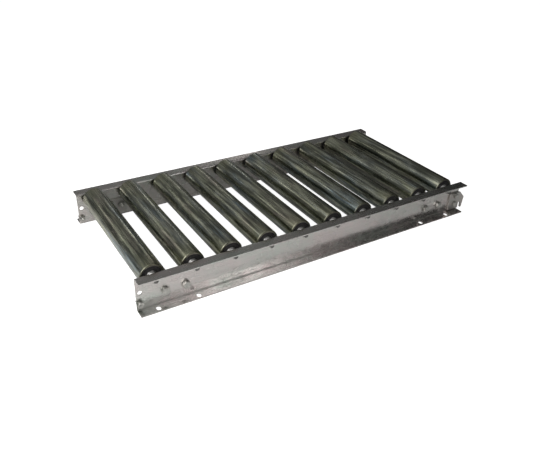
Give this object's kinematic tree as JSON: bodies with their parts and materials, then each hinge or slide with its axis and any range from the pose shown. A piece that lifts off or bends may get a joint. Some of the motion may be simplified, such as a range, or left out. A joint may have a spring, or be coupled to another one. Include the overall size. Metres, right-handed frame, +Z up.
{
  "type": "gravity roller conveyor",
  "caption": "Straight gravity roller conveyor section: free-turning steel rollers on fixed axles between two channel rails, with hook and pin couplings at its ends.",
  "frame": {"origin": "centre of the section's footprint, on the plane of the undersides of the rails", "axes": "+X along the conveyor from the pin end to the hook end, +Y across it to the rear rail, +Z up"},
  "size_m": [1.0228, 0.49, 0.1058],
  "materials": {
    "rail_steel": "cold-rolled sheet, semi-gloss, faint rolling grain",
    "roller_zinc": "zinc plated and chromated tube, olive and blue tints along its length",
    "cup_steel": "zinc plated pressed steel",
    "ball_steel": "polished bearing steel",
    "axle_steel": "bright drawn bar",
    "race_steel": "turned steel, bright",
    "seal_black": "moulded black dust seal",
    "cross_steel": "plain steel sheet with welded corners",
    "hook_steel": "pressed steel plate",
    "fastener_zinc": "zinc plated"
  },
  "bodies": {
    "frame": {"axle_01": "axle_steel", "axle_02": "axle_steel", "axle_03": "axle_steel", "axle_04": "axle_steel", "axle_05": "axle_steel", "axle_06": "axle_steel", "axle_07": "axle_steel", "axle_08": "axle_steel", "axle_09": "axle_steel", "axle_10": "axle_steel", "axle_split_pins": "fastener_zinc", "bearing_inner_races": "race_steel", "bearing_seals": "seal_black", "coupling_nuts": "fastener_zinc", "coupling_pins": "fastener_zinc", "cross_bolts": "fastener_zinc", "cross_channel_hook_end": "cross_steel", "cross_channel_pin_end": "cross_steel", "cross_end_plates": "cross_steel", "cross_flat_washers": "fastener_zinc", "cross_nuts": "fastener_zinc", "cross_spring_washers": "fastener_zinc", "front_rail": "rail_steel", "hook_bolts": "fastener_zinc", "hook_nuts": "fastener_zinc", "hook_plate_front": "hook_steel", "hook_plate_rear": "hook_steel", "m8_spring_washers": "fastener_zinc", "rear_rail": "rail_steel"},
    "roller_01": {"roller_tube_01": "roller_zinc", "bearing_cups_01": "cup_steel"},
    "ball_rings_01": {"bearing_balls_01": "ball_steel"},
    "roller_02": {"roller_tube_02": "roller_zinc", "bearing_cups_02": "cup_steel"},
    "ball_rings_02": {"bearing_balls_02": "ball_steel"},
    "roller_03": {"roller_tube_03": "roller_zinc", "bearing_cups_03": "cup_steel"},
    "ball_rings_03": {"bearing_balls_03": "ball_steel"},
    "roller_04": {"roller_tube_04": "roller_zinc", "bearing_cups_04": "cup_steel"},
    "ball_rings_04": {"bearing_balls_04": "ball_steel"},
    "roller_05": {"roller_tube_05": "roller_zinc", "bearing_cups_05": "cup_steel"},
    "ball_rings_05": {"bearing_balls_05": "ball_steel"},
    "roller_06": {"roller_tube_06": "roller_zinc", "bearing_cups_06": "cup_steel"},
    "ball_rings_06": {"bearing_balls_06": "ball_steel"},
    "roller_07": {"roller_tube_07": "roller_zinc", "bearing_cups_07": "cup_steel"},
    "ball_rings_07": {"bearing_balls_07": "ball_steel"},
    "roller_08": {"roller_tube_08": "roller_zinc", "bearing_cups_08": "cup_steel"},
    "ball_rings_08": {"bearing_balls_08": "ball_steel"},
    "roller_09": {"roller_tube_09": "roller_zinc", "bearing_cups_09": "cup_steel"},
    "ball_rings_09": {"bearing_balls_09": "ball_steel"},
    "roller_10": {"roller_tube_10": "roller_zinc", "bearing_cups_10": "cup_steel"},
    "ball_rings_10": {"bearing_balls_10": "ball_steel"}
  },
  "joints": [
    {"name": "roller_01_spin", "type": "hinge", "parent": "frame", "child": "roller_01", "pos_m": [-0.4665, 0, 0.0755], "axis": [0, 1, 0], "continuous": true},
    {"name": "ball_rings_01_roll", "type": "hinge", "parent": "frame", "child": "ball_rings_01", "pos_m": [-0.4665, 0, 0.0755], "axis": [0, 1, 0], "continuous": true},
    {"name": "roller_02_spin", "type": "hinge", "parent": "frame", "child": "roller_02", "pos_m": [-0.3665, 0, 0.0755], "axis": [0, 1, 0], "continuous": true},
    {"name": "ball_rings_02_roll", "type": "hinge", "parent": "frame", "child": "ball_rings_02", "pos_m": [-0.3665, 0, 0.0755], "axis": [0, 1, 0], "continuous": true},
    {"name": "roller_03_spin", "type": "hinge", "parent": "frame", "child": "roller_03", "pos_m": [-0.2665, 0, 0.0755], "axis": [0, 1, 0], "continuous": true},
    {"name": "ball_rings_03_roll", "type": "hinge", "parent": "frame", "child": "ball_rings_03", "pos_m": [-0.2665, 0, 0.0755], "axis": [0, 1, 0], "continuous": true},
    {"name": "roller_04_spin", "type": "hinge", "parent": "frame", "child": "roller_04", "pos_m": [-0.1665, 0, 0.0755], "axis": [0, 1, 0], "continuous": true},
    {"name": "ball_rings_04_roll", "type": "hinge", "parent": "frame", "child": "ball_rings_04", "pos_m": [-0.1665, 0, 0.0755], "axis": [0, 1, 0], "continuous": true},
    {"name": "roller_05_spin", "type": "hinge", "parent": "frame", "child": "roller_05", "pos_m": [-0.0665, 0, 0.0755], "axis": [0, 1, 0], "continuous": true},
    {"name": "ball_rings_05_roll", "type": "hinge", "parent": "frame", "child": "ball_rings_05", "pos_m": [-0.0665, 0, 0.0755], "axis": [0, 1, 0], "continuous": true},
    {"name": "roller_06_spin", "type": "hinge", "parent": "frame", "child": "roller_06", "pos_m": [0.0335, 0, 0.0755], "axis": [0, 1, 0], "continuous": true},
    {"name": "ball_rings_06_roll", "type": "hinge", "parent": "frame", "child": "ball_rings_06", "pos_m": [0.0335, 0, 0.0755], "axis": [0, 1, 0], "continuous": true},
    {"name": "roller_07_spin", "type": "hinge", "parent": "frame", "child": "roller_07", "pos_m": [0.1335, 0, 0.0755], "axis": [0, 1, 0], "continuous": true},
    {"name": "ball_rings_07_roll", "type": "hinge", "parent": "frame", "child": "ball_rings_07", "pos_m": [0.1335, 0, 0.0755], "axis": [0, 1, 0], "continuous": true},
    {"name": "roller_08_spin", "type": "hinge", "parent": "frame", "child": "roller_08", "pos_m": [0.2335, 0, 0.0755], "axis": [0, 1, 0], "continuous": true},
    {"name": "ball_rings_08_roll", "type": "hinge", "parent": "frame", "child": "ball_rings_08", "pos_m": [0.2335, 0, 0.0755], "axis": [0, 1, 0], "continuous": true},
    {"name": "roller_09_spin", "type": "hinge", "parent": "frame", "child": "roller_09", "pos_m": [0.3335, 0, 0.0755], "axis": [0, 1, 0], "continuous": true},
    {"name": "ball_rings_09_roll", "type": "hinge", "parent": "frame", "child": "ball_rings_09", "pos_m": [0.3335, 0, 0.0755], "axis": [0, 1, 0], "continuous": true},
    {"name": "roller_10_spin", "type": "hinge", "parent": "frame", "child": "roller_10", "pos_m": [0.4335, 0, 0.0755], "axis": [0, 1, 0], "continuous": true},
    {"name": "ball_rings_10_roll", "type": "hinge", "parent": "frame", "child": "ball_rings_10", "pos_m": [0.4335, 0, 0.0755], "axis": [0, 1, 0], "continuous": true}
  ],
  "couplings": [
    {"joint": "ball_rings_01_roll", "follows": "roller_01_spin", "ratio": 0.619},
    {"joint": "ball_rings_02_roll", "follows": "roller_02_spin", "ratio": 0.619},
    {"joint": "ball_rings_03_roll", "follows": "roller_03_spin", "ratio": 0.619},
    {"joint": "ball_rings_04_roll", "follows": "roller_04_spin", "ratio": 0.619},
    {"joint": "ball_rings_05_roll", "follows": "roller_05_spin", "ratio": 0.619},
    {"joint": "ball_rings_06_roll", "follows": "roller_06_spin", "ratio": 0.619},
    {"joint": "ball_rings_07_roll", "follows": "roller_07_spin", "ratio": 0.619},
    {"joint": "ball_rings_08_roll", "follows": "roller_08_spin", "ratio": 0.619},
    {"joint": "ball_rings_09_roll", "follows": "roller_09_spin", "ratio": 0.619},
    {"joint": "ball_rings_10_roll", "follows": "roller_10_spin", "ratio": 0.619}
  ]
}
